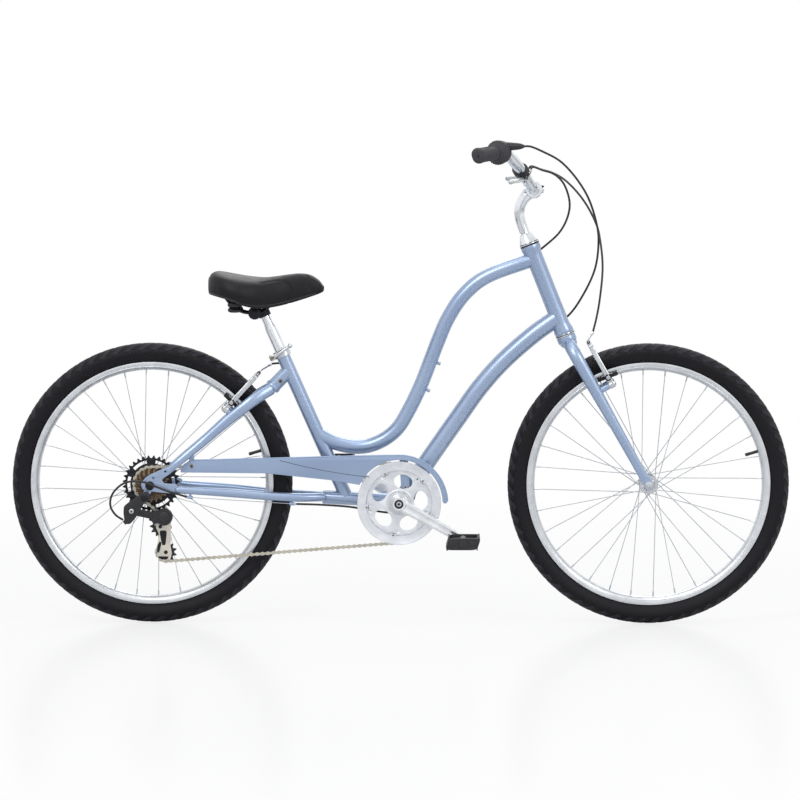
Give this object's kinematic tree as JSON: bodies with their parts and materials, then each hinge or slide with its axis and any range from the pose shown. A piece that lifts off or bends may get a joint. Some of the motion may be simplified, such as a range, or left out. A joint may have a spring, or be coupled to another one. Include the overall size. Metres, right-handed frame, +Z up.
{
  "type": "step through bicycle",
  "caption": "Step through cruiser bicycle with a low curved frame, swept handlebar, wide saddle, rear derailleur, rim brakes and chain guard.",
  "frame": {"origin": "on the ground midway between the two wheel axles, in the bicycle's middle plane", "axes": "+X forward, +Y to the rider's left, +Z up; the drive train is on the -Y side"},
  "size_m": [1.825, 0.6514, 1.1336],
  "materials": {
    "frame_paint": "light blue metallic paint, glossy",
    "guard_paint": "light blue paint, satin",
    "chrome": "bright chrome plate",
    "alloy": "satin aluminium",
    "bare_steel": "silver plated steel",
    "bronze_steel": "bronze brown plated steel",
    "chain_steel": "oiled tan steel",
    "cage_steel": "pale plated steel",
    "black_steel": "black plated steel",
    "black_plastic": "black moulded plastic",
    "grip_rubber": "dark grey moulded rubber",
    "tyre": "black tyre rubber",
    "saddle_vinyl": "black textured vinyl over foam",
    "cable_housing": "black cable housing"
  },
  "bodies": {
    "frame": {"head_tube": "frame_paint", "top_tube": "frame_paint", "down_tube": "frame_paint", "seat_tube": "frame_paint", "bottom_bracket_shell": "frame_paint", "chainstay_right": "frame_paint", "chainstay_left": "frame_paint", "seatstay_right": "frame_paint", "seatstay_left": "frame_paint", "headset_lower": "black_steel", "chain_guard": "guard_paint", "seat_clamp": "black_steel", "rear_axle": "black_steel", "shift_cable": "cable_housing", "rear_brake_cable": "cable_housing", "derailleur_cable": "cable_housing", "chain": "chain_steel"},
    "steering": {"fork": "frame_paint", "headset_upper": "chrome", "stem": "chrome", "handlebar": "chrome", "grip_right": "grip_rubber", "grip_left": "grip_rubber", "shifter_body": "black_plastic", "lever_bracket_right": "black_plastic", "lever_bracket_left": "black_plastic", "front_brake_cable": "cable_housing", "front_axle": "black_steel"},
    "front_wheel": {"front_tyre": "tyre", "front_rim": "alloy", "front_hub": "alloy"},
    "rear_wheel": {"rear_tyre": "tyre", "rear_rim": "alloy", "rear_hub": "alloy"},
    "freewheel": {"freewheel": "bronze_steel"},
    "cranks": {"bottom_bracket_spindle": "bare_steel", "crank_right": "alloy", "crank_left": "alloy", "chainring": "bare_steel", "chainring_guard": "bare_steel"},
    "right_pedal": {"pedal_right": "black_plastic"},
    "left_pedal": {"pedal_left": "black_plastic"},
    "knuckle": {"derailleur_knuckle": "black_plastic"},
    "link": {"derailleur_link": "black_plastic"},
    "pivot_body": {"derailleur_pivot_body": "black_plastic"},
    "cage": {"derailleur_cage": "cage_steel"},
    "upper_pulley": {"guide_pulley": "black_plastic"},
    "lower_pulley": {"tension_pulley": "black_plastic"},
    "twist_grip": {"shifter_twist": "grip_rubber"},
    "right_lever": {"brake_lever_right": "alloy"},
    "left_lever": {"brake_lever_left": "alloy"},
    "front_arm_right": {"front_brake_arm_right": "alloy"},
    "front_arm_left": {"front_brake_arm_left": "alloy"},
    "rear_arm_right": {"rear_brake_arm_right": "alloy"},
    "rear_arm_left": {"rear_brake_arm_left": "alloy"},
    "seat": {"seat_post": "chrome", "saddle_clamp": "black_steel", "saddle_base": "black_plastic", "saddle_cover": "saddle_vinyl"},
    "clamp_lever": {"seat_clamp_lever": "alloy"}
  },
  "joints": [
    {"name": "steering_turn", "type": "hinge", "parent": "frame", "child": "steering", "pos_m": [0.38561, 0, 0.68265], "axis": [-0.3698, 0, 0.9291], "range_deg": [-70, 70], "deforming": ["shift_cable", "rear_brake_cable"]},
    {"name": "front_wheel_spin", "type": "hinge", "parent": "steering", "child": "front_wheel", "pos_m": [0.5825, 0, 0.33], "axis": [0, 1, 0], "continuous": true},
    {"name": "rear_wheel_spin", "type": "hinge", "parent": "frame", "child": "rear_wheel", "pos_m": [-0.5825, 0, 0.33], "axis": [0, 1, 0], "continuous": true},
    {"name": "crank_spin", "type": "hinge", "parent": "frame", "child": "cranks", "pos_m": [-0.00105, 0, 0.28794], "axis": [0, 1, 0], "continuous": true},
    {"name": "freewheel_spin", "type": "hinge", "parent": "frame", "child": "freewheel", "pos_m": [-0.5825, 0, 0.33], "axis": [0, 1, 0], "continuous": true},
    {"name": "right_pedal_spin", "type": "hinge", "parent": "cranks", "child": "right_pedal", "pos_m": [0.14835, -0.135, 0.20683], "axis": [0, 1, 0], "continuous": true},
    {"name": "left_pedal_spin", "type": "hinge", "parent": "cranks", "child": "left_pedal", "pos_m": [-0.15045, 0.135, 0.36906], "axis": [0, 1, 0], "continuous": true},
    {"name": "hanger_turn", "type": "hinge", "parent": "frame", "child": "knuckle", "pos_m": [-0.59299, 0, 0.304], "axis": [0, 1, 0], "range_deg": [0, 30], "stiffness_Nm_per_rad": 1.5, "deforming": ["chain", "derailleur_cable"]},
    {"name": "link_swing", "type": "hinge", "parent": "knuckle", "child": "link", "pos_m": [-0.627, -0.0813, 0.27198], "axis": [0.2694, 0, 0.963], "range_deg": [-25.8, 5.7], "deforming": ["chain"]},
    {"name": "pivot_body_swing", "type": "hinge", "parent": "link", "child": "pivot_body", "pos_m": [-0.57703, -0.057, 0.258], "axis": [0.2694, 0, 0.963], "range_deg": [-5.7, 25.8], "deforming": ["chain"]},
    {"name": "cage_turn", "type": "hinge", "parent": "pivot_body", "child": "cage", "pos_m": [-0.55105, 0, 0.25497], "axis": [0, 1, 0], "range_deg": [-50, 8], "stiffness_Nm_per_rad": 0.6, "deforming": ["chain"]},
    {"name": "upper_pulley_spin", "type": "hinge", "parent": "cage", "child": "upper_pulley", "pos_m": [-0.56083, -0.038, 0.23098], "axis": [0, 1, 0], "continuous": true},
    {"name": "lower_pulley_spin", "type": "hinge", "parent": "cage", "child": "lower_pulley", "pos_m": [-0.54802, -0.038, 0.17063], "axis": [0, 1, 0], "continuous": true},
    {"name": "shifter_turn", "type": "hinge", "parent": "steering", "child": "twist_grip", "pos_m": [0.18199, -0.318, 1.09818], "axis": [0.4191, 0.9049, 0.0738], "range_deg": [-22.8, 103.2], "deforming": ["chain"]},
    {"name": "right_lever_pull", "type": "hinge", "parent": "steering", "child": "right_lever", "pos_m": [0.28794, -0.12402, 1.04634], "axis": [-0.7092, 0.1628, -0.6859], "range_deg": [0, 20], "stiffness_Nm_per_rad": 2.5},
    {"name": "left_lever_pull", "type": "hinge", "parent": "steering", "child": "left_lever", "pos_m": [0.28794, 0.12402, 1.04634], "axis": [0.7092, 0.1628, 0.6859], "range_deg": [0, 20], "stiffness_Nm_per_rad": 2.5},
    {"name": "front_arm_right_close", "type": "hinge", "parent": "steering", "child": "front_arm_right", "pos_m": [0.49498, -0.042, 0.56655], "axis": [-0.8713, 0, -0.4907], "range_deg": [0, 3]},
    {"name": "front_arm_left_close", "type": "hinge", "parent": "steering", "child": "front_arm_left", "pos_m": [0.49498, 0.042, 0.56655], "axis": [0.8713, 0, 0.4907], "range_deg": [0, 3]},
    {"name": "rear_arm_right_close", "type": "hinge", "parent": "frame", "child": "rear_arm_right", "pos_m": [-0.40693, -0.042, 0.50743], "axis": [-0.7337, 0, 0.6794], "range_deg": [0, 3]},
    {"name": "rear_arm_left_close", "type": "hinge", "parent": "frame", "child": "rear_arm_left", "pos_m": [-0.40693, 0.042, 0.50743], "axis": [0.7337, 0, -0.6794], "range_deg": [0, 3]},
    {"name": "seat_height", "type": "slide", "parent": "frame", "child": "seat", "axis": [-0.4067, 0, 0.9135], "range_m": [-0.06, 0.09]},
    {"name": "seat_clamp_open", "type": "hinge", "parent": "frame", "child": "clamp_lever", "pos_m": [-0.29845, -0.019, 0.62584], "axis": [0.4067, 0, -0.9135], "range_deg": [0, 150]}
  ],
  "couplings": [
    {"joint": "freewheel_spin", "follows": "crank_spin", "ratio": 1.9167},
    {"joint": "upper_pulley_spin", "follows": "crank_spin", "ratio": -4.1818},
    {"joint": "lower_pulley_spin", "follows": "crank_spin", "ratio": 4.1818},
    {"joint": "link_swing", "follows": "shifter_turn", "ratio": -0.25},
    {"joint": "pivot_body_swing", "follows": "shifter_turn", "ratio": 0.25},
    {"joint": "front_arm_right_close", "follows": "left_lever_pull", "ratio": 0.15},
    {"joint": "front_arm_left_close", "follows": "left_lever_pull", "ratio": 0.15},
    {"joint": "rear_arm_right_close", "follows": "right_lever_pull", "ratio": 0.15},
    {"joint": "rear_arm_left_close", "follows": "right_lever_pull", "ratio": 0.15}
  ]
}
